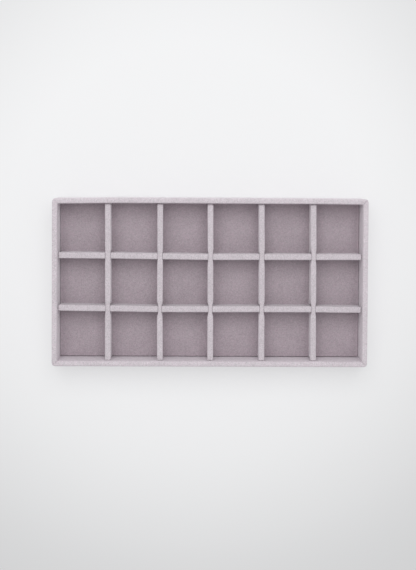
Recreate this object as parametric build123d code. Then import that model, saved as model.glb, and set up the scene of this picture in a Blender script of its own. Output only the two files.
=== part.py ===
from build123d import *
import os

# Velvet-covered jewelry tray with a lift-out grid of cross-lapped dividers.
# Millimetres. X runs along the long side, +Y to the rear wall, +Z up.
# The origin is the centre of the underside, in the plane that the tray rests on.

# Driving dimensions of the tray
TRAY_LENGTH = 360.0
TRAY_WIDTH = 192.4
TRAY_HEIGHT = 35.0
CORNER_RADIUS = 4.5

# Wall: greyboard core with a plush velvet cover on both faces
WALL_THICKNESS = 6.2
WALL_VELVET = 1.5
RIM_RADIUS = 1.5
INNER_CORNER_RADIUS = 0.8
HEM_THICKNESS = 0.8

# Bottom of the tray, from the table up
LINER_THICKNESS = 0.4
LINER_MARGIN = 3.0
LINER_CORNER_RADIUS = 2.0
BASE_THICKNESS = 2.5

# Padded floor board
FLOOR_TOP = 7.3
PAD_GAP = 0.6
PAD_VELVET = 1.0
PAD_BOARD_THICKNESS = 1.5
PAD_EDGE_RADIUS = 0.9
PAD_CORNER_RADIUS = 1.2

# Dividers
DIVIDER_BOTTOM_GAP = 0.2
DIVIDER_TOP_BELOW_RIM = 4.2
DIVIDER_CORE = 3.0
DIVIDER_END_VELVET = 0.8

LONG_DIVIDER_THICKNESS = 7.0
LONG_DIVIDER_END_GAP = 0.8
LONG_DIVIDER_END_RADIUS = 2.0
LONG_DIVIDER_TOP_RADIUS = 1.8
LONG_DIVIDER_TOP_VELVET = 1.8

CROSS_DIVIDER_THICKNESS = 6.2
CROSS_DIVIDER_END_GAP = 0.3
CROSS_DIVIDER_END_RADIUS = 1.7
CROSS_DIVIDER_TOP_RADIUS = 1.5
CROSS_DIVIDER_TOP_VELVET = 1.5

# Cross-lap joints: the velvet of each cross divider is pinched where it crosses
NECK_THICKNESS = 4.8
NECK_TAPER = 1.4
LAP_CLEARANCE = 0.2
LAP_SIDE_GAP = 0.3
LAP_HEIGHT_GAP = 0.3

# How far each hand-set divider stands from even spacing
CROSS_DIVIDER_SHIFTS = (1.0, 1.5, 0.1, -0.3, 0.0)
LONG_DIVIDER_SHIFTS = {"rear": -1.9, "front": 0.6}

# Sizes that follow from the driving dimensions
INNER_LENGTH = TRAY_LENGTH - 2 * WALL_THICKNESS
INNER_WIDTH = TRAY_WIDTH - 2 * WALL_THICKNESS
CORE_OUTER_LENGTH = TRAY_LENGTH - 2 * WALL_VELVET
CORE_OUTER_WIDTH = TRAY_WIDTH - 2 * WALL_VELVET
CORE_INNER_LENGTH = INNER_LENGTH + 2 * WALL_VELVET
CORE_INNER_WIDTH = INNER_WIDTH + 2 * WALL_VELVET
WALL_FOOT = LINER_THICKNESS + HEM_THICKNESS
WALL_CORE_TOP = TRAY_HEIGHT - WALL_VELVET
BASE_TOP = LINER_THICKNESS + BASE_THICKNESS
PAD_LENGTH = INNER_LENGTH - 2 * PAD_GAP
PAD_WIDTH = INNER_WIDTH - 2 * PAD_GAP
PAD_BOARD_TOP = BASE_TOP + PAD_BOARD_THICKNESS
PAD_FOAM_TOP = FLOOR_TOP - PAD_VELVET
DIVIDER_BOTTOM = FLOOR_TOP + DIVIDER_BOTTOM_GAP
DIVIDER_TOP = TRAY_HEIGHT - DIVIDER_TOP_BELOW_RIM
LAP_MIDDLE = (DIVIDER_BOTTOM + DIVIDER_TOP) / 2
LONG_SLOT_WIDTH = NECK_THICKNESS + 2 * LAP_CLEARANCE
CROSS_SLOT_WIDTH = LONG_DIVIDER_THICKNESS + 2 * LAP_SIDE_GAP
LONG_SLOT_BOTTOM = LAP_MIDDLE - LAP_HEIGHT_GAP / 2
CROSS_SLOT_TOP = LAP_MIDDLE + LAP_HEIGHT_GAP / 2
CUT_MARGIN = 5.0


def divider_positions(inner_size, count, thickness, shifts):
    """Even spacing between the walls, plus the small shift of each divider."""
    cell = (inner_size - count * thickness) / (count + 1)
    first = -inner_size / 2 + cell + thickness / 2
    return [first + i * (cell + thickness) + shifts[i] for i in range(count)]


CROSS_POSITIONS = divider_positions(
    INNER_LENGTH, len(CROSS_DIVIDER_SHIFTS), CROSS_DIVIDER_THICKNESS, CROSS_DIVIDER_SHIFTS
)
LONG_POSITIONS = divider_positions(
    INNER_WIDTH,
    len(LONG_DIVIDER_SHIFTS),
    LONG_DIVIDER_THICKNESS,
    (LONG_DIVIDER_SHIFTS["front"], LONG_DIVIDER_SHIFTS["rear"]),
)
LONG_DIVIDER_Y = dict(zip(("front", "rear"), LONG_POSITIONS))


def slab(length, width, bottom, top, corner_radius=0.0):
    """A flat plate centred on the Z axis, with upright corners rounded if asked."""
    outline = Rectangle(length, width)
    if corner_radius > 0:
        outline = RectangleRounded(length, width, corner_radius)
    return extrude(Pos(0, 0, bottom) * outline, amount=top - bottom)


def block(x_range, y_range, z_range):
    """A plain box between two limits along each axis."""
    size = [high - low for low, high in (x_range, y_range, z_range)]
    centre = [(high + low) / 2 for low, high in (x_range, y_range, z_range)]
    return Pos(*centre) * Box(*size)


def top_edges(solid, height):
    """The edges that lie wholly at one height."""
    return [
        edge
        for edge in solid.edges()
        if abs(edge.bounding_box().min.Z - height) < 1e-4
        and abs(edge.bounding_box().max.Z - height) < 1e-4
    ]


def mitre_wedges():
    """The four parts that the walls take of the tray, cut at 45 degrees in its corners."""
    half_length = TRAY_LENGTH / 2 + CUT_MARGIN
    half_width = TRAY_WIDTH / 2 + CUT_MARGIN
    ridge = half_length - half_width
    side = [(-half_length, half_width), (half_length, half_width), (ridge, 0), (-ridge, 0)]
    end = [(half_length, half_width), (half_length, -half_width), (ridge, 0)]
    outlines = {
        "rear": side,
        "front": [(x, -y) for x, y in side],
        "right": end,
        "left": [(-x, y) for x, y in end],
    }
    return {
        name: extrude(make_face(Polyline(*points, close=True)), amount=TRAY_HEIGHT + CUT_MARGIN)
        for name, points in outlines.items()
    }


def wall_core_ring():
    """The greyboard frame before it is cut into four boards."""
    outer = slab(
        CORE_OUTER_LENGTH,
        CORE_OUTER_WIDTH,
        WALL_FOOT,
        WALL_CORE_TOP,
        CORNER_RADIUS - WALL_VELVET,
    )
    return outer - slab(CORE_INNER_LENGTH, CORE_INNER_WIDTH, 0, TRAY_HEIGHT)


def wall_velvet_ring(core):
    """Velvet over the outside, the rim and the inside of the frame, with its hem under the foot."""
    ring = slab(TRAY_LENGTH, TRAY_WIDTH, LINER_THICKNESS, TRAY_HEIGHT, CORNER_RADIUS)
    ring = ring - slab(INNER_LENGTH, INNER_WIDTH, 0, TRAY_HEIGHT + CUT_MARGIN, INNER_CORNER_RADIUS)
    ring = fillet(top_edges(ring, TRAY_HEIGHT), RIM_RADIUS)
    ring = ring - slab(CORE_INNER_LENGTH, CORE_INNER_WIDTH, 0, BASE_TOP)
    return ring - core


def bottom_liner():
    return slab(
        TRAY_LENGTH - 2 * LINER_MARGIN,
        TRAY_WIDTH - 2 * LINER_MARGIN,
        0,
        LINER_THICKNESS,
        LINER_CORNER_RADIUS,
    )


def base_board():
    return slab(CORE_INNER_LENGTH, CORE_INNER_WIDTH, LINER_THICKNESS, BASE_TOP)


def floor_pad():
    """The board, the foam and the velvet of the floor, which is glued down on the base."""
    core_length = PAD_LENGTH - 2 * PAD_VELVET
    core_width = PAD_WIDTH - 2 * PAD_VELVET
    board = slab(core_length, core_width, BASE_TOP, PAD_BOARD_TOP)
    foam = slab(core_length, core_width, PAD_BOARD_TOP, PAD_FOAM_TOP)
    cover = slab(PAD_LENGTH, PAD_WIDTH, BASE_TOP, FLOOR_TOP, PAD_CORNER_RADIUS)
    cover = fillet(top_edges(cover, FLOOR_TOP), PAD_EDGE_RADIUS)
    cover = cover - slab(core_length, core_width, BASE_TOP, PAD_FOAM_TOP)
    return {"floor_pad_board": board, "floor_pad_foam": foam, "floor_pad_velvet": cover}


def divider_cover(length, thickness, end_radius, top_radius):
    """A divider's outside, along X at Y = 0, with its upright corners and its top rounded."""
    cover = slab(length, thickness, DIVIDER_BOTTOM, DIVIDER_TOP, end_radius)
    return fillet(top_edges(cover, DIVIDER_TOP), top_radius)


def long_divider(y):
    """A long divider: its slots are open at the top, one for each cross divider."""
    length = INNER_LENGTH - 2 * LONG_DIVIDER_END_GAP
    core_top = DIVIDER_TOP - LONG_DIVIDER_TOP_VELVET
    core = slab(length - 2 * DIVIDER_END_VELVET, DIVIDER_CORE, DIVIDER_BOTTOM, core_top)
    cover = divider_cover(
        length, LONG_DIVIDER_THICKNESS, LONG_DIVIDER_END_RADIUS, LONG_DIVIDER_TOP_RADIUS
    )
    cover = cover - core
    for x in CROSS_POSITIONS:
        slot = block(
            (x - LONG_SLOT_WIDTH / 2, x + LONG_SLOT_WIDTH / 2),
            (-LONG_DIVIDER_THICKNESS, LONG_DIVIDER_THICKNESS),
            (LONG_SLOT_BOTTOM, DIVIDER_TOP + CUT_MARGIN),
        )
        core = core - slot
        cover = cover - slot
    return Pos(0, y, 0) * core, Pos(0, y, 0) * cover


def pinch(y, side):
    """What the pinched neck takes off one side of a cross divider, from its slot to its top."""
    face = side * CROSS_DIVIDER_THICKNESS / 2
    neck = side * NECK_THICKNESS / 2
    outside = face + side * CUT_MARGIN
    half = CROSS_SLOT_WIDTH / 2
    outline = Polyline(
        (outside, y - half - NECK_TAPER),
        (face, y - half - NECK_TAPER),
        (neck, y - half),
        (neck, y + half),
        (face, y + half + NECK_TAPER),
        (outside, y + half + NECK_TAPER),
        close=True,
    )
    height = DIVIDER_TOP - LONG_SLOT_BOTTOM + CUT_MARGIN
    return extrude(Pos(0, 0, LONG_SLOT_BOTTOM) * make_face(outline), amount=height)


def cross_divider(x):
    """A cross divider: its slots are open at the bottom, and its velvet is pinched above them."""
    length = INNER_WIDTH - 2 * CROSS_DIVIDER_END_GAP
    core_top = DIVIDER_TOP - CROSS_DIVIDER_TOP_VELVET
    core = slab(length - 2 * DIVIDER_END_VELVET, DIVIDER_CORE, DIVIDER_BOTTOM, core_top)
    cover = divider_cover(
        length, CROSS_DIVIDER_THICKNESS, CROSS_DIVIDER_END_RADIUS, CROSS_DIVIDER_TOP_RADIUS
    )
    cover = cover - core
    turned = Rot(0, 0, 90)
    core = turned * core
    cover = turned * cover
    for y in LONG_DIVIDER_Y.values():
        slot = block(
            (-CROSS_DIVIDER_THICKNESS, CROSS_DIVIDER_THICKNESS),
            (y - CROSS_SLOT_WIDTH / 2, y + CROSS_SLOT_WIDTH / 2),
            (0, CROSS_SLOT_TOP),
        )
        core = core - slot
        cover = cover - slot - pinch(y, 1) - pinch(y, -1)
    return Pos(x, 0, 0) * core, Pos(x, 0, 0) * cover


def build_pieces():
    """Every separate piece of the tray by its name."""
    pieces = {"bottom_liner": bottom_liner(), "base_board": base_board()}
    core = wall_core_ring()
    velvet = wall_velvet_ring(core)
    for name, wedge in mitre_wedges().items():
        pieces[f"{name}_wall_board"] = core & wedge
        pieces[f"{name}_wall_velvet"] = velvet & wedge
    pieces.update(floor_pad())
    for name, y in LONG_DIVIDER_Y.items():
        core, cover = long_divider(y)
        pieces[f"long_divider_{name}_core"] = core
        pieces[f"long_divider_{name}_velvet"] = cover
    for number, x in enumerate(CROSS_POSITIONS, start=1):
        core, cover = cross_divider(x)
        pieces[f"cross_divider_{number}_core"] = core
        pieces[f"cross_divider_{number}_velvet"] = cover
    return pieces


os.makedirs("parts", exist_ok=True)
for node, solid in build_pieces().items():
    export_step(solid, f"parts/{node}.step")
print("cross dividers at x =", [round(x, 2) for x in CROSS_POSITIONS])
print("long dividers at y =", {name: round(y, 2) for name, y in LONG_DIVIDER_Y.items()})
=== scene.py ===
import math
from dataclasses import dataclass
from typing import Callable

import bmesh
import bpy
from bpy.props import FloatProperty, FloatVectorProperty, PointerProperty
from mathutils import Euler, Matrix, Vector, noise


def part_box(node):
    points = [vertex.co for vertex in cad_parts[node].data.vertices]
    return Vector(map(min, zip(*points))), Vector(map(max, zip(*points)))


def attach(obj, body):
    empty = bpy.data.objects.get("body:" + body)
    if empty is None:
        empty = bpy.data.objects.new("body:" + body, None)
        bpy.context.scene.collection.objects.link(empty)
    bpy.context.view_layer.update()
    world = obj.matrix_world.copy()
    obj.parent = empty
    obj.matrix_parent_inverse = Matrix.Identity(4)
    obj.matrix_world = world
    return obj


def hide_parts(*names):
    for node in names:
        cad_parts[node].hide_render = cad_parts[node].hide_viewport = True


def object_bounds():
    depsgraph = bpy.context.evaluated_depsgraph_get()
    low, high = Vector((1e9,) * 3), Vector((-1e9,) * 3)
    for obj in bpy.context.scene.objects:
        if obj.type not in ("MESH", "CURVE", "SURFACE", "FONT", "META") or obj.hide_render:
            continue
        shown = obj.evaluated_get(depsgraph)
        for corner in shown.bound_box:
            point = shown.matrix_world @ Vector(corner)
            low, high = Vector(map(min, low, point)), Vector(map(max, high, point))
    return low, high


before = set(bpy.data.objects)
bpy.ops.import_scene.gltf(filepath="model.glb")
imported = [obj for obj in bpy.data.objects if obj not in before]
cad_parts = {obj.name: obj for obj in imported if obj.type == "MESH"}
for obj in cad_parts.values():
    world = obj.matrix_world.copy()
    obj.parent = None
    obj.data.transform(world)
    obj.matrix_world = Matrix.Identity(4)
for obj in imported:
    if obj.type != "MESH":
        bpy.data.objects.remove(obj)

bl_info = {
    "name": "Velvet Jewelry Tray",
    "version": (1, 0, 0),
    "blender": (4, 5, 0),
    "location": "3D View > Sidebar > Tray",
    "description": "Dresses the jewelry tray with velvet covers, greyboard, foam and a paper liner",
    "category": "Add Mesh",
}

MM = 0.001
CAD_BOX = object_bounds()
WALLS = ("front", "rear", "left", "right")
LONG_DIVIDERS = ("front", "rear")
CROSS_DIVIDERS = (1, 2, 3, 4, 5)

ARC_STEPS = 6
SHARP_ANGLE = math.radians(50)

# The camera's place in metres, its turn away from straight down in degrees, and its lens shift
CAMERA_PLACE = (-0.0223, 0.1336, 1.2247)
CAMERA_TURN = (1.35, 0.89, -0.33)
CAMERA_SHIFT = (0.001, -0.1669)

# The soft lamp, in metres
LAMP_PLACE = (-0.05, 0.8, 1.42)
LAMP_WIDTH = 1.6
LAMP_HEIGHT = 1.2

# The table reaches this far each way, and its colour falls off around its brightest point as a painted
# pool of light: a share of half a metre from it, and how bright the table is there
TABLE_REACH = 4.0
PAINTED_LIGHT_CENTRE = (-0.02, 0.06, 0.0)
TABLE_PAINTED_FALLOFF = ((0.0, 1.03), (0.3, 1.03), (0.54, 0.98), (0.74, 0.86), (0.9, 0.77), (1.0, 0.77))
BACKDROP = (0.84, 0.845, 0.855)

# The frame's own places, in metres
TRAY_LOW, TRAY_HIGH = CAD_BOX
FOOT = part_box("front_wall_velvet")[0].z
BASE_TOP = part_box("base_board")[1].z
PAD_LOW, PAD_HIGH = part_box("floor_pad_velvet")


def size_property(name, description, default):
    return FloatProperty(
        name=name, description=description, default=default * MM, subtype="DISTANCE", unit="LENGTH"
    )


def colour_property(name, description, default):
    return FloatVectorProperty(
        name=name, description=description, default=default, size=3, subtype="COLOR"
    )


class TraySizes(bpy.types.PropertyGroup):
    """Sizes of the velvet work that the boards under it leave open."""

    wall: size_property("Wall", "Thickness of a covered wall", 6.2)
    rim_radius: size_property("Rim Radius", "Rounding of the velvet over the rim", 1.7)
    front_roll: size_property("Front Roll", "Inner rounding of the front wall's rim", 4.2)
    front_lean: size_property("Front Lean", "How far the front wall's inner face leans out", 0.3)
    rear_dip: size_property("Rear Dip", "How far the rear wall's left end draws in", 0.9)
    rim_crown: size_property("Rim Crown", "How far the rim rises in its middle", 0.12)
    corner_radius: size_property("Corner Radius", "Outer upright corners of the tray", 4.5)
    wall_cloth: size_property("Wall Velvet", "Thickness of the wall velvet", 1.4)
    mitre_crease: size_property("Mitre Crease", "Dip of a corner's seam on the rim", 0.8)
    mitre_spread: size_property("Mitre Spread", "Half width of that seam", 0.8)
    divider_cloth: size_property("Divider Velvet", "Thickness of the divider velvet", 1.3)
    long_radius: size_property("Long Divider Radius", "Rounding along a long divider", 1.3)
    cross_radius: size_property("Cross Divider Radius", "Rounding along a cross divider", 1.05)
    long_waist: size_property("Long Waist", "How much a long divider draws in below that", 0.75)
    cross_swell: size_property("Cross Swell", "How much fuller a cross divider is at its top", 0.2)
    cross_waist: size_property("Cross Waist", "How much a cross divider draws in below it", 0.5)
    end_radius: size_property("End Radius", "Rounding of a divider's upright end corners", 1.5)
    end_fall: size_property("End Fall", "Rounding of a divider's top down to its ends", 1.1)
    rear_fall: size_property("Rear Fall", "The same at a cross divider's rear end", 3.2)
    slot_turn: size_property("Slot Turn", "Rounding of a long divider's velvet at its slots", 0.9)
    slot_gap: size_property("Slot Gap", "Between a cross divider and the slot that holds it", 0.12)
    squeeze_fade: size_property("Squeeze Fade", "How far past a slot the squeeze fades out", 6.0)
    pad_spread: size_property("Pad Spread", "How far the floor velvet swells to the walls", 0.25)
    pad_gap: size_property("Pad Gap", "How far the pad stands back from the front wall", 0.7)
    pad_edge: size_property("Pad Edge", "Rounding of the floor pad's edge", 0.7)
    waver: size_property("Waver", "How far hand-laid velvet strays from a true line", 0.14)


class TrayColours(bpy.types.PropertyGroup):
    """Colours of the cloth, the boards and the paper."""

    velvet: colour_property("Velvet", "Colour of the velvet", (0.603, 0.574, 0.601))
    velvet_warm: colour_property("Velvet Warm", "Pink cast of the velvet", (0.642, 0.562, 0.613))
    divider: colour_property("Divider Velvet", "Colour on the dividers", (0.560, 0.534, 0.558))
    divider_warm: colour_property("Divider Warm", "Pink cast on them", (0.597, 0.522, 0.570))
    # The floor velvet is darker than the walls' velvet: partly a darker cloth, partly painted shade
    # for the deep cells and the pile seen straight on
    floor: colour_property("Floor Velvet", "Velvet of the floor", (0.429, 0.382, 0.410))
    floor_warm: colour_property("Floor Warm", "Pink cast of the floor", (0.454, 0.373, 0.417))
    board: colour_property("Greyboard", "Raw greyboard", (0.30, 0.275, 0.245))
    foam: colour_property("Foam", "Foam of the floor pad", (0.74, 0.71, 0.64))
    liner: colour_property("Liner", "Paper under the tray", (0.42, 0.385, 0.40))
    table: colour_property("Table", "Surface that the tray lies on", (0.893, 0.896, 0.905))


class TrayLight(bpy.types.PropertyGroup):
    """Light and camera."""

    sky: FloatProperty(name="Sky", description="Strength of the even light", default=0.66, min=0)
    key: FloatProperty(name="Key", description="Power of the soft lamp, in watts", default=11.5, min=0)
    table_glow: FloatProperty(
        name="Table Glow",
        description="Share of the table's colour that no shadow reaches",
        default=0.48,
        min=0,
        max=1,
        subtype="FACTOR",
    )
    focal_length: FloatProperty(
        name="Focal Length", description="Of the camera's lens, in millimetres", default=66.25
    )


class Value:
    """A shader socket that takes part in Python expressions."""

    def __init__(self, graph, socket):
        self.graph = graph
        self.socket = socket

    def _math(self, operation, first, second):
        return self.graph.node("ShaderNodeMath", {"operation": operation}, {0: first, 1: second})

    def __add__(self, other):
        return self._math("ADD", self, other)

    def __radd__(self, other):
        return self._math("ADD", other, self)

    def __sub__(self, other):
        return self._math("SUBTRACT", self, other)

    def __rsub__(self, other):
        return self._math("SUBTRACT", other, self)

    def __mul__(self, other):
        return self._math("MULTIPLY", self, other)

    def __rmul__(self, other):
        return self._math("MULTIPLY", other, self)

    def clamped(self):
        return self.graph.node("ShaderNodeClamp", {}, {"Value": self})


class Graph:
    """The nodes of a material or a world, and the one way in which nodes are added to them."""

    def __init__(self, tree):
        self.nodes = tree.nodes
        self.links = tree.links

    def put(self, node, sockets):
        for key, value in sockets.items():
            if isinstance(value, Value):
                self.links.new(value.socket, node.inputs[key])
            else:
                node.inputs[key].default_value = value

    def node(self, kind, settings, sockets, output=0):
        node = self.nodes.new(kind)
        for key, value in settings.items():
            if key == "stops":
                self.set_stops(node.color_ramp, value)
            else:
                setattr(node, key, value)
        self.put(node, sockets)
        return Value(self, node.outputs[output])

    def set_stops(self, ramp, stops):
        ramp.interpolation = "B_SPLINE"
        while len(ramp.elements) < len(stops):
            ramp.elements.new(1.0)
        for element, (position, colour) in zip(ramp.elements, stops):
            element.position = position
            element.color = colour

    def noise(self, place, scale, detail=2.0, roughness=0.5):
        """Noise from 0 to 1 with scale grains to the metre."""
        sockets = {"Vector": place, "Scale": scale, "Detail": detail, "Roughness": roughness}
        return self.node("ShaderNodeTexNoise", {}, sockets)

    def mix(self, factor, first, second, blend="MIX"):
        """Colour first where factor is 0 and second where it is 1."""
        settings = {"data_type": "RGBA", "blend_type": blend}
        return self.node("ShaderNodeMix", settings, {0: factor, 6: first, 7: second}, 2)

    def place(self, stretch=(1, 1, 1)):
        """The point on the tray, stretched along its axes."""
        place = self.node("ShaderNodeTexCoord", {}, {}, 3)
        settings = {"operation": "MULTIPLY"}
        return self.node("ShaderNodeVectorMath", settings, {0: place, 1: stretch})

    def bump(self, height, distance, strength):
        sockets = {"Height": height, "Distance": distance, "Strength": strength}
        return self.node("ShaderNodeBump", {}, sockets)


class Finish(Graph):
    """A new material with its main shader."""

    def __init__(self, name):
        self.material = bpy.data.materials.new(name)
        self.material.use_nodes = True
        super().__init__(self.material.node_tree)
        self.shader = self.nodes["Principled BSDF"]


def opaque(colour, factor=1.0):
    """The colour times a factor, with full alpha."""
    return tuple(part * factor for part in colour) + (1.0,)


def velvet_finish(name, colour, warm):
    """Short plush: a fine grain and brushed patches. A point attribute paints light and shade into its
    colour: a painted highlight on rubbed edges, which is partly wear, painted light on a face that
    light falls on, and painted shade on a face in shadow."""
    finish = Finish(name)
    place = finish.place()
    patches = finish.noise(place, 46, 2, 0.5)
    tufts = finish.noise(place, 420, 2, 0.6)
    grain = finish.noise(place, 1050, 2, 0.65)
    pile = finish.noise(place, 3600, 2, 0.6)
    cast = finish.noise(place, 620, 2, 0.6)
    # painted highlight, painted light and painted shade, with some edge wear, read from the mesh
    # attribute
    nap = finish.node("ShaderNodeAttribute", {"attribute_name": "nap"}, {}, 2)
    lightness = 0.5 + (grain - 0.5) * 2.0 + (tufts - 0.5) * 0.5 + (patches - 0.5) * 0.35
    lightness = (lightness + (pile - 0.5) * 0.6 + nap * 0.4).clamped()
    tint = (0.5 + (cast - 0.5) * 2.4).clamped()
    body = finish.mix(tint, opaque(colour), opaque(warm))
    shade = finish.mix(1.0, body, opaque((0.76, 0.76, 0.76)), "MULTIPLY")
    light = finish.mix(1.0, body, opaque((1.24, 1.24, 1.24)), "MULTIPLY")
    finish.put(
        finish.shader,
        {
            "Base Color": finish.mix(lightness, shade, light),
            "Roughness": 0.88 + (pile - 0.5) * 0.12,
            "Normal": finish.bump(grain * 0.8 + pile * 0.5 + tufts * 0.6, 0.00022, 0.4),
            "Sheen Weight": 0.9,
            "Sheen Roughness": 0.35,
            "Sheen Tint": (0.93, 0.90, 0.93, 1.0),
            "Specular IOR Level": 0.1,
        },
    )
    return finish.material


def greyboard_finish(name, colour):
    """Raw board of pressed waste paper: grey-brown with darker and paler flecks."""
    finish = Finish(name)
    place = finish.place()
    layers = finish.noise(finish.place((1, 1, 9)), 300, 3, 0.6)
    clouds = finish.noise(place, 90, 3, 0.55)
    flecks = finish.noise(place, 1400, 2, 0.7)
    dark_flecks = ((flecks - 0.62) * 9.0).clamped()
    pale_flecks = ((0.36 - flecks) * 9.0).clamped()
    clouding = (0.5 + (clouds - 0.5) * 1.5).clamped()
    body = finish.mix(clouding, opaque(colour, 0.88), opaque(colour, 1.12))
    flecked = finish.mix(dark_flecks * 0.45, body, opaque(colour, 0.45))
    flecked = finish.mix(pale_flecks * 0.4, flecked, opaque(colour, 1.7))
    finish.put(
        finish.shader,
        {
            "Base Color": flecked,
            "Roughness": 0.84 + (clouds - 0.5) * 0.2,
            "Normal": finish.bump(layers + flecks * 0.5, 0.00012, 0.5),
            "Specular IOR Level": 0.2,
        },
    )
    return finish.material


def foam_finish(name, colour):
    """Open-cell foam: small dark pores in a pale body."""
    finish = Finish(name)
    place = finish.place()
    settings = {"feature": "F1"}
    pores = finish.node("ShaderNodeTexVoronoi", settings, {"Vector": place, "Scale": 1500.0})
    depth = (1.0 - pores * 1.7).clamped()
    clouds = finish.noise(place, 120, 2, 0.5)
    pore_shade = depth * 0.5 + clouds * 0.15
    finish.put(
        finish.shader,
        {
            "Base Color": finish.mix(pore_shade, opaque(colour), opaque(colour, 0.45)),
            "Roughness": 0.95 - clouds * 0.1,
            "Normal": finish.bump(1.0 - depth, 0.0003, 0.7),
        },
    )
    return finish.material


def liner_finish(name, colour):
    """Matt paper with a fine pressed grain."""
    finish = Finish(name)
    place = finish.place()
    grain = finish.noise(place, 1700, 3, 0.6)
    fibres = finish.noise(finish.place((1, 6, 1)), 420, 3, 0.6)
    clouds = finish.noise(place, 30, 3, 0.5)
    lightness = (0.5 + (fibres - 0.5) * 0.7 + (clouds - 0.5) * 0.7 + (grain - 0.5) * 0.4).clamped()
    finish.put(
        finish.shader,
        {
            "Base Color": finish.mix(lightness, opaque(colour, 0.85), opaque(colour, 1.13)),
            "Roughness": 0.78 + (grain - 0.5) * 0.2,
            "Normal": finish.bump(grain + fibres * 0.5, 0.00008, 0.5),
            "Specular IOR Level": 0.3,
        },
    )
    return finish.material


def table_finish(name, colour, glow):
    """Pale surface whose colour carries a painted pool of light, falling off gently around the tray.
    The camera sees a share of its colour as glow, so that the tray's shadow on it stays as light as in
    a bright studio."""
    finish = Finish(name)
    place = finish.node("ShaderNodeTexCoord", {}, {}, 3)
    sockets = {0: place, 1: PAINTED_LIGHT_CENTRE}
    away = finish.node("ShaderNodeVectorMath", {"operation": "SUBTRACT"}, sockets)
    distance = finish.node("ShaderNodeVectorMath", {"operation": "LENGTH"}, {0: away}, 1)
    stops = [(position, opaque((level, level, level))) for position, level in TABLE_PAINTED_FALLOFF]
    painted_falloff = finish.node("ShaderNodeValToRGB", {"stops": stops}, {"Fac": distance * 2.0})
    surface = finish.mix(1.0, opaque(colour), painted_falloff, "MULTIPLY")
    finish.put(
        finish.shader,
        {"Base Color": surface, "Roughness": 0.9, "Specular IOR Level": 0.0},
    )
    seen = finish.node("ShaderNodeLightPath", {}, {})
    shine = finish.node("ShaderNodeEmission", {}, {"Color": surface, "Strength": 1.0})
    sockets = {0: seen * glow, 1: Value(finish, finish.shader.outputs[0]), 2: shine}
    both = finish.node("ShaderNodeMixShader", {}, sockets)
    finish.put(finish.nodes["Material Output"], {"Surface": both})
    return finish.material


def studio_world(name, strength):
    """Even light from all round, and a pale backdrop behind it."""
    world = bpy.data.worlds.new(name)
    world.use_nodes = True
    graph = Graph(world.node_tree)
    seen = graph.node("ShaderNodeLightPath", {}, {})
    shade = graph.mix(seen, opaque((strength, strength, strength)), opaque(BACKDROP))
    graph.put(graph.nodes["Background"], {"Color": shade, "Strength": 1.0})
    return world


def smooth(value):
    """Rises from 0 to 1 as the value does, with a soft start and end."""
    value = max(0.0, min(1.0, value))
    return value * value * (3 - 2 * value)


def waver(point, wave, seed):
    """Smooth chance between -1 and 1, with waves of the given length."""
    return noise.noise(Vector(point) / wave + Vector((seed * 3.7, seed * 1.3, seed * 2.1)))


def spread(start, end, step):
    """Evenly spaced values from start to end, about step apart, both ends included."""
    count = max(1, round(abs(end - start) / step))
    return [start + (end - start) * i / count for i in range(count + 1)]


def rounded_path(corners, radii, straight_steps):
    """Points along a line through corners in a plane, each inner corner rounded by its radius."""
    points = [Vector(corners[0])]
    for i in range(1, len(corners)):
        here = Vector(corners[i])
        before = Vector(corners[i - 1])
        arc = [here]
        if i < len(corners) - 1 and radii[i - 1] > 0:
            way_in = (here - before).normalized()
            way_out = (Vector(corners[i + 1]) - here).normalized()
            centre = here + (way_out - way_in) * radii[i - 1]
            arc = []
            for step in range(ARC_STEPS + 1):
                angle = math.pi / 2 * step / ARC_STEPS
                offset = way_in * math.sin(angle) - way_out * math.cos(angle)
                arc.append(centre + offset * radii[i - 1])
        start = points[-1]
        steps = straight_steps[i - 1]
        for step in range(1, steps):
            points.append(start.lerp(arc[0], step / steps))
        points.extend(arc)
    return points


def left_normals(path):
    """The direction to the left of travel at each point of a plane path."""
    normals = []
    for i in range(len(path)):
        ahead = path[min(i + 1, len(path) - 1)] - path[max(i - 1, 0)]
        normals.append(Vector((-ahead.y, ahead.x)).normalized())
    return normals


def cloth_mesh(name, outer, inner, nap, keep=None):
    """A closed piece of cloth between an outer and an inner grid of points of one shape."""
    rows = len(outer)
    columns = len(outer[0])
    kept = {
        (r, c)
        for r in range(rows - 1)
        for c in range(columns - 1)
        if keep is None or keep(r, c)
    }
    index = {}
    points = []
    wear_and_painted_shading_values = []

    def vertex(layer, r, c):
        key = (layer, r, c)
        if key not in index:
            index[key] = len(points)
            points.append((outer, inner)[layer][r][c])
            wear_and_painted_shading_values.append(nap[r][c] if layer == 0 else 0.0)
        return index[key]

    faces = []
    for r, c in sorted(kept):
        ring = [(r, c), (r, c + 1), (r + 1, c + 1), (r + 1, c)]
        faces.append([vertex(0, *corner) for corner in ring])
        faces.append([vertex(1, *corner) for corner in reversed(ring)])
        neighbours = [(r - 1, c), (r, c + 1), (r + 1, c), (r, c - 1)]
        for side, neighbour in enumerate(neighbours):
            if neighbour not in kept:
                first = ring[side]
                second = ring[(side + 1) % 4]
                faces.append(
                    [vertex(0, *second), vertex(0, *first), vertex(1, *first), vertex(1, *second)]
                )
    return mesh_object(name, points, faces, wear_and_painted_shading_values)


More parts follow.
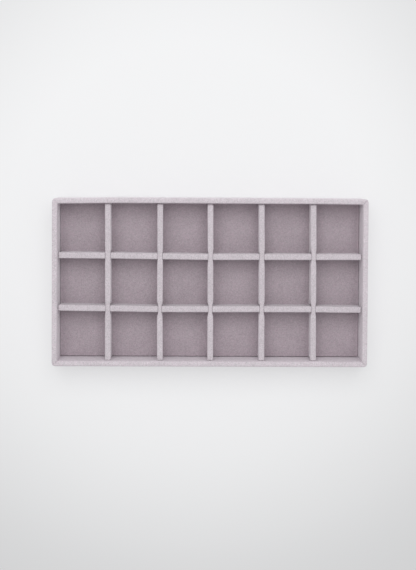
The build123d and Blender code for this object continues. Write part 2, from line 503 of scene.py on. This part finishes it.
def mesh_object(name, points, faces, wear_and_painted_shading_values):
    """A piece made of these points and faces, with the painted light, shade and wear given at each
    point.
    """
    mesh = bpy.data.meshes.new(name)
    mesh.from_pydata([tuple(point) for point in points], [], faces)
    attribute = mesh.attributes.new("nap", "FLOAT", "POINT")
    attribute.data.foreach_set("value", wear_and_painted_shading_values)
    work = bmesh.new()
    work.from_mesh(mesh)
    bmesh.ops.dissolve_degenerate(work, dist=1e-7, edges=work.edges)
    bmesh.ops.recalc_face_normals(work, faces=work.faces)
    work.to_mesh(mesh)
    work.free()
    mesh.polygons.foreach_set("use_smooth", [True] * len(mesh.polygons))
    mesh.set_sharp_from_angle(angle=SHARP_ANGLE)
    piece = bpy.data.objects.new(name, mesh)
    bpy.context.scene.collection.objects.link(piece)
    return piece


def thin_shell(name, work, thickness, offset):
    """A piece made from a bmesh surface, which a modifier gives its thickness."""
    mesh = bpy.data.meshes.new(name)
    work.to_mesh(mesh)
    work.free()
    mesh.polygons.foreach_set("use_smooth", [True] * len(mesh.polygons))
    piece = bpy.data.objects.new(name, mesh)
    bpy.context.scene.collection.objects.link(piece)
    shell = piece.modifiers.new("thickness", "SOLIDIFY")
    shell.thickness = thickness
    shell.offset = offset
    return piece


def dress(piece, material, slot, body, *nodes):
    """Gives a finished piece its material, its body and the nodes that it stands for."""
    piece.data.materials.clear()
    piece.data.materials.append(material)
    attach(piece, body)
    if nodes:
        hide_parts(*nodes)


# How much painted light makes the front wall's inner face paler, and how much painted shade darkens
# the rear face of a long divider
FRONT_PAINTED_LIGHT = 0.5
LONG_DIVIDER_PAINTED_SHADE = -1.3
WALL_SEEDS = {"front": 1, "rear": 2, "left": 3, "right": 4}
# Paler velvet over the bend of the rim, outside this share of the rim's half width: partly wear,
# partly painted highlight
BEND_WEAR_AND_HIGHLIGHT = 0.3
BEND_START = 0.62
# How strongly each corner's seam shows: it dips on the rim and stands out on the upright faces
SEAM_DEPTHS = {
    ("front", "left"): 1.0,
    ("front", "right"): 0.9,
    ("rear", "left"): 0.4,
    ("rear", "right"): 1.2,
}


# Around a wall's foot: the hem's thickness, and the rounding outside and inside the cloth
HEM = 0.8 * MM
FOOT_RADIUS = 1.1 * MM
INSIDE_RADIUS = 0.3 * MM
WALL_STEPS = (2, 14, 2, 14)
# A wall's mitred end: shares from 1 at its start to 2 at the seam, the shortest run between them,
# and the length over which the seam is worked out
MITRE_SHARES = (1.2, 1.4, 1.58, 1.72, 1.83, 1.91, 1.96, 2.0)
MITRE_RUN = 1.4 * MM
MITRE_LENGTH = 3.0 * MM
# How far from the left and the right end the walls' velvet draws in, and from the rear edge
DIP_LEFT = 90 * MM
DIP_RIGHT = 60 * MM
DIP_REAR = 40 * MM
DIP_FADE = 34 * MM
RIGHT_DIP_SHARE = 0.4
# The part of a wall, from its foot up, over which the velvet's stray grows to its full size
STRAY_RISE = 20 * MM


def wall_profiles(sizes, roll, lean):
    """The cloth's outer and inner line in a wall's section: how far inward, and how high."""
    cloth = sizes.wall_cloth
    top = TRAY_HIGH.z - sizes.rim_crown
    inner_face = sizes.wall - cloth
    outer = rounded_path(
        [(inner_face, FOOT), (0, FOOT), (0, top), (sizes.wall, top), (sizes.wall + lean, BASE_TOP)],
        [FOOT_RADIUS, sizes.rim_radius, roll],
        WALL_STEPS,
    )
    inner = rounded_path(
        [
            (inner_face, FOOT + HEM),
            (cloth, FOOT + HEM),
            (cloth, top - cloth),
            (inner_face, top - cloth),
            (inner_face, BASE_TOP),
        ],
        [INSIDE_RADIUS, INSIDE_RADIUS, INSIDE_RADIUS],
        WALL_STEPS,
    )
    return outer, inner


def along_wall(inward, share, half, corner):
    """A point on a wall at a share of its way from the middle, with its rounded mitred end."""
    straight_end = half - max(corner, inward + MITRE_RUN)
    reach = abs(share)
    if reach <= 1:
        return math.copysign(straight_end * reach, share), inward
    if inward < corner:
        last = half - corner + (corner - inward) * math.sqrt(0.5)
    else:
        last = half - inward
    along = straight_end + (last - straight_end) * (reach - 1)
    turn = along - (half - corner)
    if inward < corner and turn > 0:
        radius = corner - inward
        inward = corner - math.sqrt(max(radius * radius - turn * turn, 0))
    return math.copysign(along, share), inward


def drawn_in(x, y, dip):
    """How far the walls' velvet lies further in at the rear: most at the left end."""
    left_end = 1 - smooth((x - TRAY_LOW.x) / DIP_LEFT)
    right_end = smooth((x - TRAY_HIGH.x + DIP_RIGHT) / DIP_RIGHT)
    rear = smooth((y - TRAY_HIGH.y + DIP_REAR) / DIP_FADE)
    return dip * (left_end + RIGHT_DIP_SHARE * right_end) * rear


def wall_painted_light(side, point, sizes):
    """Painted light on a wall: paler on the front wall's inner face."""
    inside = smooth((point.x - sizes.wall / 2) / (sizes.wall / 2))
    return FRONT_PAINTED_LIGHT * inside if side == "front" else 0.0


def wall_cover(side, sizes):
    """One wall's velvet: hem, outer face, rolled rim and inner face, mitred at both ends."""
    seed = WALL_SEEDS[side]
    lengthwise = side in ("front", "rear")
    half = TRAY_HIGH.x if lengthwise else TRAY_HIGH.y
    across = TRAY_HIGH.y if lengthwise else TRAY_HIGH.x
    roll = sizes.front_roll if side == "front" else sizes.rim_radius
    lean = sizes.front_lean if side == "front" else 0.0
    outer_line, inner_line = wall_profiles(sizes, roll, lean)
    normals = left_normals(outer_line)
    middle = spread(-1, 1, 2.2 * MM / half)
    shares = [-share for share in reversed(MITRE_SHARES)] + middle + list(MITRE_SHARES)
    near_end, far_end = {
        "front": (("front", "left"), ("front", "right")),
        "rear": (("rear", "left"), ("rear", "right")),
        "left": (("front", "left"), ("rear", "left")),
        "right": (("front", "right"), ("rear", "right")),
    }[side]

    def crease(share):
        depth = sizes.mitre_crease * SEAM_DEPTHS[far_end if share > 0 else near_end]
        away = (2.0 - abs(share)) * MITRE_LENGTH
        return depth * math.exp(-((away / sizes.mitre_spread) ** 2))

    def place(along, inward, height):
        from_edge = across - inward
        x, y = {
            "front": (along, -from_edge),
            "rear": (along, from_edge),
            "left": (-from_edge, along),
            "right": (from_edge, along),
        }[side]
        return Vector((x, y - drawn_in(x, y, sizes.rear_dip), height))

    outer = []
    inner = []
    nap = []
    for row, (point, normal) in enumerate(zip(outer_line, normals)):
        inner_point = inner_line[row]
        level = smooth((point.y - FOOT) / STRAY_RISE)
        over_rim = max(0.0, 1 - abs(point.x - sizes.wall / 2) / (sizes.wall / 2))
        on_top = point.y > TRAY_HIGH.z - sizes.rim_crown - sizes.rim_radius
        crown = sizes.rim_crown * math.sin(math.pi / 2 * over_rim) if on_top else 0.0
        # paler over the rim's bend: partly wear, partly painted highlight
        bend_wear_and_highlight = BEND_WEAR_AND_HIGHLIGHT if on_top and over_rim < BEND_START else 0.0
        # painted light on the front wall's inner face
        front_painted_light = wall_painted_light(side, point, sizes)
        seam = 0.35 + 0.65 * smooth(point.x / sizes.rim_radius)
        outer.append([])
        inner.append([])
        nap.append([])
        for share in shares:
            along, inward = along_wall(point.x, share, half, sizes.corner_radius)
            spot = place(along, inward, point.y)
            stray = sizes.waver * (
                0.6 * waver(spot, 14 * MM, seed) + 0.4 * waver(spot, 5 * MM, seed + 9)
            )
            push = stray * level * (1 - smooth(abs(share) - 1)) - crease(share) * seam
            along, inward = along_wall(point.x - normal.x * push, share, half, sizes.corner_radius)
            outer[-1].append(place(along, inward, point.y + normal.y * push + crown))
            along, inward = along_wall(inner_point.x, share, half, sizes.corner_radius)
            inner[-1].append(place(along, inward, inner_point.y))
            nap[-1].append(front_painted_light + bend_wear_and_highlight * (0.6 + 0.4 * waver(spot, 6 * MM, seed + 4)))
    piece = cloth_mesh(f"{side}_wall_cover", outer, inner, nap)
    developed = sum((b - a).length for a, b in zip(outer_line, outer_line[1:]))
    return piece, developed, 2 * half


class TRAY_OT_wall_covers(bpy.types.Operator):
    """Velvet over the four walls, with a mitred seam in every corner"""

    bl_idname = "tray.wall_covers"
    bl_label = "Wall Covers"

    def execute(self, context):
        sizes = context.scene.tray_sizes
        colours = context.scene.tray_colours
        material = velvet_finish("wall_velvet", colours.velvet, colours.velvet_warm)
        for side in WALLS:
            piece, width, length = wall_cover(side, sizes)
            dress(piece, material, "wall_velvet", "tray", f"{side}_wall_velvet")
        return {"FINISHED"}


# Inside a divider's cover: the rounding under its top, and how far its ends stand back
DIVIDER_INSIDE_RADIUS = 0.25 * MM
END_CLOTH = 0.9 * MM
DIVIDER_STEPS = (5, 8, 3, 8, 5)
# A long divider's velvet is this much thicker than a cross divider's
LONG_EXTRA_CLOTH = 0.3 * MM
# Between a long divider and the slot of a cross divider that goes over it
CROSS_SLOT_GAP = 0.3 * MM
# How high the squeeze of a crossing fades in, and the share of it that lowers the top
SQUEEZE_RISE = 2.5 * MM
SQUEEZE_DROP = 0.1
# How far down from the top a divider's full head goes over into its waist, and the painted shade on
# its side begins
HEAD = 2 * MM
HEAD_FADE = 5 * MM
PAINTED_SHADE_START = 1.2 * MM
PAINTED_SHADE_FADE = 2 * MM
# The top of a divider, over which its ends fall
FALL_FADE = 6 * MM


def divider_lines(half_width, bottom, middle, top, radius, cloth):
    """The outer and inner line of a divider's cover in its section."""
    outer = rounded_path(
        [
            (-half_width, bottom),
            (-half_width, middle),
            (-half_width, top),
            (half_width, top),
            (half_width, middle),
            (half_width, bottom),
        ],
        [0, radius, radius, 0],
        DIVIDER_STEPS,
    )
    inside = half_width - cloth
    inner = rounded_path(
        [
            (-inside, bottom),
            (-inside, middle),
            (-inside, top - cloth),
            (inside, top - cloth),
            (inside, middle),
            (inside, bottom),
        ],
        [0, DIVIDER_INSIDE_RADIUS, DIVIDER_INSIDE_RADIUS, 0],
        DIVIDER_STEPS,
    )
    return outer, inner


@dataclass
class CoverForm:
    """How a divider's velvet is cut and rounded, all in metres."""

    cloth: float
    top_radius: float
    swell: float
    waist: float
    end_radius: float
    low_fall: float
    high_fall: float
    slots: list
    slots_open_up: bool
    squeeze: Callable
    bow: Callable
    nap: float
    waver: float
    seed: int


def stations_between(low, high):
    """Places from low to high, close together beside both ends."""
    near = [0.12 * MM, 0.35 * MM, 0.7 * MM]
    start = 1.2 * MM
    middle = spread(low + start, high - start, 1.8 * MM)
    first = [low] + [low + step for step in near]
    last = [high - step for step in reversed(near)] + [high]
    return first + middle + last


def end_stations(half_length, radius):
    """Stations over a divider's rounded end: the place along it, how far its sides draw in, and
    the share of the width that is left where the end itself is closed."""
    stations = []
    for step in range(1, ARC_STEPS + 1):
        angle = math.pi / 2 * step / ARC_STEPS
        along = half_length - radius * (1 - math.sin(angle))
        stations.append((along, radius * (1 - math.cos(angle)), 1.0))
    stations.extend((half_length, radius, share) for share in (0.6, 0.25, 0.02))
    return stations


def divider_cover(name, box, lengthwise, form):
    """A divider's velvet: both faces, the rounded top and the closed ends, cut at its slots."""
    low, high = box
    centre = (low + high) / 2
    half_length = (high.x - low.x) / 2 if lengthwise else (high.y - low.y) / 2
    half_width = (high.y - low.y) / 2 if lengthwise else (high.x - low.x) / 2
    outer_line, inner_line = divider_lines(
        half_width, low.z, centre.z, high.z, form.top_radius, form.cloth
    )

    def place(along, aside, height):
        if lengthwise:
            return Vector((centre.x + along, centre.y + aside, height))
        return Vector((centre.x + aside, centre.y + along, height))

    straight = half_length - form.end_radius
    columns = []
    edges = [-straight] + [edge for slot in form.slots for edge in slot] + [straight]
    for start, end in zip(edges, edges[1:]):
        columns.extend((along, 0.0, 1.0) for along in stations_between(start, end)[bool(columns):])
    ends = end_stations(half_length, form.end_radius)
    columns = [(-along, draw, share) for along, draw, share in reversed(ends)] + columns + ends

    outer = []
    inner = []
    nap = []
    for point, inner_point in zip(outer_line, inner_line):
        side = point.x / half_width
        inner_side = inner_point.x / half_width
        on_top = point.y > high.z - form.top_radius
        depth = high.z - point.y
        upper = smooth((point.y - high.z + FALL_FADE) / FALL_FADE)
        below = smooth((depth - HEAD) / HEAD_FADE)
        fuller = form.swell * (1 - below) - form.waist * below
        rear_or_right = side > 0
        # painted shade low on the rear face of a long divider, under its top
        painted_rear_shade = form.nap * smooth((depth - PAINTED_SHADE_START) / PAINTED_SHADE_FADE) if rear_or_right else 0.0
        outer.append([])
        inner.append([])
        nap.append([])
        for along, draw, share in columns:
            low_draw, high_draw, drop = form.squeeze(along, point.y)
            squeezed = low_draw if side < 0 else high_draw
            width = (half_width + fuller - draw - squeezed) * share
            end_fall = form.low_fall if along < 0 else form.high_fall
            to_end = max(0.0, 1 - (half_length - abs(along)) / end_fall)
            fall = end_fall * (1 - math.sqrt(1 - to_end * to_end)) + drop
            spot = (along, side * 4 * MM, point.y)
            stray = form.waver * waver(spot, 11 * MM, form.seed) * min(1.0, width / half_width)
            height = point.y - fall * upper + stray * 0.5 * upper
            bow = form.bow(along)
            outer[-1].append(place(along, side * width + stray + bow, height))
            inner_along = max(END_CLOTH - half_length, min(half_length - END_CLOTH, along))
            inner_height = inner_point.y - fall * upper
            inner_aside = inner_side * max(width, 0.0) + bow
            inner[-1].append(place(inner_along, inner_aside, inner_height))
            # paler top of a divider: partly wear, partly painted highlight
            painted_highlight = 0.15 + 0.15 * waver(spot, 5 * MM, form.seed + 7) if on_top else 0.0
            nap[-1].append(painted_highlight + painted_rear_shade)

    def keep(row, column):
        start = columns[column][0]
        end = columns[column + 1][0]
        in_slot = any(start > slot[0] - 1e-7 and end < slot[1] + 1e-7 for slot in form.slots)
        above = outer_line[row].y + outer_line[row + 1].y > 2 * centre.z
        return not in_slot or above != form.slots_open_up

    return cloth_mesh(name, outer, inner, nap, keep)


# How far the left and the right side of each cross divider are squeezed in its crossings with
# the rear and the front long divider, in millimetres
SQUEEZES = {
    "rear": ((0.0, 0.2), (0.25, 0.35), (0.4, 0.4), (0.3, 0.3), (0.8, 0.3)),
    "front": ((0.2, 0.7), (1.05, 1.0), (0.85, 0.8), (0.7, 0.65), (0.85, 0.45)),
}

# How far each divider's velvet lies off its true line, in millimetres: to the right for a cross
# divider, at these places from its front end, and to the rear for a long one, from its left end
CROSS_PLACES = (0, 59, 119, 179)
LONG_PLACES = (0, 56, 116, 173, 232, 291, 346)
BOWS = {
    1: (0.55, 0.45, 0.3, 0.0),
    2: (0.55, 0.2, 0.25, 0.1),
    3: (0.45, 0.3, 0.15, -0.2),
    4: (0.55, 0.5, 0.3, -0.25),
    5: (0.5, 0.3, 0.15, -0.3),
    "rear": (0.75, 0.65, 0.1, -0.4, -0.15, 0.1, 0.2),
    "front": (0.65, 0.15, -0.5, -0.4, -0.1, -0.1, -0.5),
}


def bow_of(divider, along):
    """How far a divider's velvet lies off its true line, at a distance from its near end."""
    places = LONG_PLACES if divider in LONG_DIVIDERS else CROSS_PLACES
    bends = list(zip(places, BOWS[divider]))
    place = max(places[0], min(places[-1], along / MM))
    for (start, first), (end, second) in zip(bends, bends[1:]):
        if place <= end:
            return (first + (second - first) * smooth((place - start) / (end - start))) * MM
    return bends[-1][1] * MM


class TRAY_OT_long_dividers(bpy.types.Operator):
    """Velvet over the two long dividers, whose slots are open at the top"""

    bl_idname = "tray.long_dividers"
    bl_label = "Long Dividers"

    def execute(self, context):
        sizes = context.scene.tray_sizes
        colours = context.scene.tray_colours
        material = velvet_finish("long_divider_velvet", colours.divider, colours.divider_warm)
        for seed, side in enumerate(LONG_DIVIDERS, start=21):
            velvet = f"long_divider_{side}_velvet"
            low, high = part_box(velvet)
            half = (high.x - low.x) / 2
            middle = (low.z + high.z) / 2
            slots = []
            for number in CROSS_DIVIDERS:
                cross_low, cross_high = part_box(f"cross_divider_{number}_velvet")
                bow = bow_of(number, (low.y + high.y) / 2 - cross_low.y)
                left, right = SQUEEZES[side][number - 1]
                start = cross_low.x + bow + left * MM - sizes.slot_gap
                end = cross_high.x + bow - right * MM + sizes.slot_gap
                slots.append((start, end))

            def turned_in(along, height, slots=slots, middle=middle):
                """The velvet is turned in beside each slot."""
                if height < middle - 0.1 * MM:
                    return 0.0, 0.0, 0.0
                gap = min(abs(along - edge) for slot in slots for edge in slot)
                turn = max(0.0, 1 - gap / sizes.slot_turn)
                depth = sizes.slot_turn * (1 - math.sqrt(1 - turn * turn)) * 0.7
                return depth, depth, depth

            form = CoverForm(
                cloth=sizes.divider_cloth + LONG_EXTRA_CLOTH,
                top_radius=sizes.long_radius,
                swell=0.0,
                waist=sizes.long_waist,
                end_radius=sizes.end_radius,
                low_fall=sizes.end_fall,
                high_fall=sizes.end_fall,
                slots=slots,
                slots_open_up=True,
                squeeze=turned_in,
                bow=lambda along, side=side, half=half: bow_of(side, along + half),
                nap=LONG_DIVIDER_PAINTED_SHADE,
                waver=sizes.waver,
                seed=seed,
            )
            piece = divider_cover(f"long_divider_{side}_cover", (low, high), True, form)
            dress(piece, material, "divider_velvet", f"long_divider_{side}", velvet)
        return {"FINISHED"}


class TRAY_OT_cross_dividers(bpy.types.Operator):
    """Velvet over the five cross dividers, squeezed where they cross the long ones"""

    bl_idname = "tray.cross_dividers"
    bl_label = "Cross Dividers"

    def execute(self, context):
        sizes = context.scene.tray_sizes
        colours = context.scene.tray_colours
        material = velvet_finish("cross_divider_velvet", colours.divider, colours.divider_warm)
        crossed = {side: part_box(f"long_divider_{side}_velvet") for side in LONG_DIVIDERS}
        for number in CROSS_DIVIDERS:
            velvet = f"cross_divider_{number}_velvet"
            low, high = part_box(velvet)
            half = (high.y - low.y) / 2
            middle = (low.z + high.z) / 2
            slots = []
            for side in LONG_DIVIDERS:
                long_low, long_high = crossed[side]
                bow = bow_of(side, (low.x + high.x) / 2 - long_low.x)
                start = long_low.y + bow - CROSS_SLOT_GAP
                slots.append((start, long_high.y + bow + CROSS_SLOT_GAP))
            pinches = [SQUEEZES[side][number - 1] for side in LONG_DIVIDERS]

            def pinched(along, height, slots=slots, pinches=pinches, middle=middle):
                """The sides are pressed in by the slots of the long dividers."""
                swell = sizes.cross_swell
                left = 0.0
                right = 0.0
                upper = smooth((height - middle + SQUEEZE_RISE) / SQUEEZE_RISE)
                for (start, end), (left_depth, right_depth) in zip(slots, pinches):
                    gap = max(start - along, along - end)
                    share = upper * (1 - smooth(gap / sizes.squeeze_fade))
                    left += (left_depth * MM + swell) * share
                    right += (right_depth * MM + swell) * share
                return left, right, (left + right) * SQUEEZE_DROP

            form = CoverForm(
                cloth=sizes.divider_cloth,
                top_radius=sizes.cross_radius,
                swell=sizes.cross_swell,
                waist=sizes.cross_waist,
                end_radius=sizes.end_radius,
                low_fall=sizes.end_fall,
                high_fall=sizes.rear_fall,
                slots=slots,
                slots_open_up=False,
                squeeze=pinched,
                bow=lambda along, number=number, half=half: bow_of(number, along + half),
                nap=0.0,
                waver=sizes.waver * 0.8,
                seed=40 + number,
            )
            piece = divider_cover(f"cross_divider_{number}_cover", (low, high), False, form)
            dress(piece, material, "divider_velvet", f"cross_divider_{number}", velvet)
        return {"FINISHED"}


# The floor pad's velvet: its mesh, its thickness, the height and length of its soft waves, how far it
# falls towards its edge, and how far in the front edge's draw and the painted highlight along its edge
# reach
PAD_STEP = 3 * MM
PAD_CLOTH = 0.8 * MM
PAD_RISE = 3 * MM
PAD_WAVES = ((0.10 * MM, 38 * MM, 61), (0.07 * MM, 12 * MM, 62))
PAD_FALL = 0.35 * MM
PAD_FALL_REACH = 7 * MM
PAD_GAP_REACH = 9 * MM
PAD_HIGHLIGHT_REACH = 1.6 * MM

# The paper liner: its rounded corners, its thickness, and the height and length of its waves
LINER_CORNER = 2.0 * MM
LINER_PAPER = 0.26 * MM
LINER_RELIEF = 0.06 * MM
LINER_WAVE = 30 * MM


def edge_inset(spot):
    """How far a point of the floor pad lies in from the pad's nearest edge."""
    return min(PAD_HIGH.x - abs(spot.x), PAD_HIGH.y - abs(spot.y))


class TRAY_OT_floor_pad(bpy.types.Operator):
    """Velvet over the padded floor board"""

    bl_idname = "tray.floor_pad"
    bl_label = "Floor Pad"

    def execute(self, context):
        sizes = context.scene.tray_sizes
        colours = context.scene.tray_colours
        material = velvet_finish("floor_velvet", colours.floor, colours.floor_warm)
        work = bmesh.new()
        length = PAD_HIGH.x - PAD_LOW.x + 2 * sizes.pad_spread
        width = PAD_HIGH.y - PAD_LOW.y + 2 * sizes.pad_spread
        bmesh.ops.create_grid(
            work,
            x_segments=round(length / PAD_STEP),
            y_segments=round(width / PAD_STEP),
            size=0.5,
        )
        for vertex in work.verts:
            vertex.co = Vector((vertex.co.x * length, vertex.co.y * width, PAD_HIGH.z))
        rim = [edge for edge in work.edges if edge.is_boundary]
        extruded = bmesh.ops.extrude_edge_only(work, edges=rim)["geom"]
        for part in extruded:
            if isinstance(part, bmesh.types.BMVert):
                part.co.z = PAD_LOW.z
        bmesh.ops.recalc_face_normals(work, faces=work.faces)
        corners = [
            edge for edge in work.edges if len(edge.link_faces) == 2 and edge.calc_face_angle() > 1
        ]
        bmesh.ops.bevel(
            work, geom=corners, offset=sizes.pad_edge, segments=5, profile=0.5, affect="EDGES"
        )
        for vertex in work.verts:
            spot = vertex.co
            lift = smooth((spot.z - PAD_LOW.z) / PAD_RISE)
            swell = sum(height * waver(spot, wave, seed) for height, wave, seed in PAD_WAVES)
            fall = PAD_FALL * (1 - smooth(edge_inset(spot) / PAD_FALL_REACH))
            vertex.co.z += (swell - fall) * lift
            from_front = PAD_LOW.y + PAD_GAP_REACH - spot.y
            vertex.co.y += sizes.pad_gap * smooth(from_front / PAD_GAP_REACH)
        piece = thin_shell("floor_pad_cover", work, PAD_CLOTH, -1)
        # painted highlight along the pad's edge
        painted_highlight = [1.0 - smooth(edge_inset(v.co) / PAD_HIGHLIGHT_REACH) for v in piece.data.vertices]
        nap = piece.data.attributes.new("nap", "FLOAT", "POINT")
        nap.data.foreach_set("value", painted_highlight)
        dress(piece, material, "floor_velvet", "tray", "floor_pad_velvet")
        return {"FINISHED"}


class TRAY_OT_underside(bpy.types.Operator):
    """Paper liner over the underside"""

    bl_idname = "tray.underside"
    bl_label = "Underside"

    def execute(self, context):
        low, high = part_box("bottom_liner")
        corner = LINER_CORNER
        work = bmesh.new()
        bmesh.ops.create_grid(work, x_segments=60, y_segments=32, size=0.5)
        for vertex in work.verts:
            x = vertex.co.x * (high.x - low.x)
            y = vertex.co.y * (high.y - low.y)
            over_x = abs(x) - (high.x - corner)
            over_y = abs(y) - (high.y - corner)
            if over_x > 0 and over_y > 0:
                pull = corner / math.hypot(over_x, over_y)
                x = math.copysign(high.x - corner + over_x * min(1.0, pull), x)
                y = math.copysign(high.y - corner + over_y * min(1.0, pull), y)
            relief = LINER_RELIEF * (1 + waver((x, y, 0), LINER_WAVE, 71))
            vertex.co = Vector((x, y, low.z + relief))
        piece = thin_shell("underside_liner", work, LINER_PAPER, 1)
        material = liner_finish("liner_paper", context.scene.tray_colours.liner)
        dress(piece, material, "liner", "tray", "bottom_liner")
        return {"FINISHED"}


class TRAY_OT_boards(bpy.types.Operator):
    """Greyboard and foam on the pieces inside the velvet"""

    bl_idname = "tray.boards"
    bl_label = "Boards and Foam"

    def execute(self, context):
        colours = context.scene.tray_colours
        board = greyboard_finish("greyboard", colours.board)
        foam = foam_finish("foam", colours.foam)
        for node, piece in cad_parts.items():
            if node.endswith(("_board", "_core")):
                piece.data.materials.clear()
                piece.data.materials.append(board)
            if node.endswith("_foam"):
                piece.data.materials.clear()
                piece.data.materials.append(foam)
        return {"FINISHED"}


def soft_lamp(name, location, target, width, height, power):
    """A rectangular lamp that faces its target."""
    lamp = bpy.data.lights.new(name, "AREA")
    lamp.shape = "RECTANGLE"
    lamp.size = width
    lamp.size_y = height
    lamp.energy = power
    piece = bpy.data.objects.new(name, lamp)
    piece.location = location
    piece.rotation_mode = "QUATERNION"
    piece.rotation_quaternion = (Vector(target) - Vector(location)).to_track_quat("-Z", "Y")
    bpy.context.scene.collection.objects.link(piece)


class TRAY_OT_stage(bpy.types.Operator):
    """Table, soft light and the camera that looks down on the tray"""

    bl_idname = "tray.stage"
    bl_label = "Stage"

    def execute(self, context):
        scene = context.scene
        light = scene.tray_light
        mesh = bpy.data.meshes.new("table")
        reach = TABLE_REACH
        corners = [(-reach, -reach, 0), (reach, -reach, 0), (reach, reach, 0), (-reach, reach, 0)]
        mesh.from_pydata(corners, [], [(0, 1, 2, 3)])
        colour = scene.tray_colours.table
        mesh.materials.append(table_finish("table_surface", colour, light.table_glow))
        table = bpy.data.objects.new("table", mesh)
        scene.collection.objects.link(table)

        scene.world = studio_world("studio", light.sky)
        soft_lamp("key", LAMP_PLACE, (0.0, 0.0, 0.0), LAMP_WIDTH, LAMP_HEIGHT, light.key)

        data = bpy.data.cameras.new("camera")
        data.lens = light.focal_length
        data.shift_x, data.shift_y = CAMERA_SHIFT
        data.clip_start = 0.01
        data.clip_end = 20
        camera = bpy.data.objects.new("camera", data)
        scene.collection.objects.link(camera)
        turn = Euler([math.radians(angle) for angle in CAMERA_TURN], "XYZ").to_matrix()
        camera.location = CAMERA_PLACE
        camera.rotation_euler = turn.transposed().to_euler()
        scene.camera = camera
        scene.view_settings.view_transform = "Standard"
        return {"FINISHED"}


OPERATORS = (
    TRAY_OT_boards,
    TRAY_OT_wall_covers,
    TRAY_OT_floor_pad,
    TRAY_OT_long_dividers,
    TRAY_OT_cross_dividers,
    TRAY_OT_underside,
    TRAY_OT_stage,
)


class TRAY_PT_sidebar(bpy.types.Panel):
    """Sizes, colours and building steps of the tray"""

    bl_label = "Jewelry Tray"
    bl_idname = "TRAY_PT_sidebar"
    bl_space_type = "VIEW_3D"
    bl_region_type = "UI"
    bl_category = "Tray"

    def draw(self, context):
        scene = context.scene
        for group in (scene.tray_sizes, scene.tray_colours, scene.tray_light):
            box = self.layout.box()
            for name in group.bl_rna.properties.keys():
                if name not in ("rna_type", "name"):
                    box.prop(group, name)
        for operator in OPERATORS:
            self.layout.operator(operator.bl_idname)


GROUPS = {
    "tray_sizes": TraySizes,
    "tray_colours": TrayColours,
    "tray_light": TrayLight,
}


def register():
    for group in (*GROUPS.values(), *OPERATORS, TRAY_PT_sidebar):
        bpy.utils.register_class(group)
    for name, group in GROUPS.items():
        setattr(bpy.types.Scene, name, PointerProperty(type=group))


def unregister():
    for name in GROUPS:
        delattr(bpy.types.Scene, name)
    for group in (TRAY_PT_sidebar, *reversed(OPERATORS), *reversed(GROUPS.values())):
        bpy.utils.unregister_class(group)


def main():
    register()
    bpy.ops.tray.boards()
    bpy.ops.tray.wall_covers()
    bpy.ops.tray.floor_pad()
    bpy.ops.tray.long_dividers()
    bpy.ops.tray.cross_dividers()
    bpy.ops.tray.underside()
    bpy.ops.tray.stage()


if __name__ == "__main__":
    main()
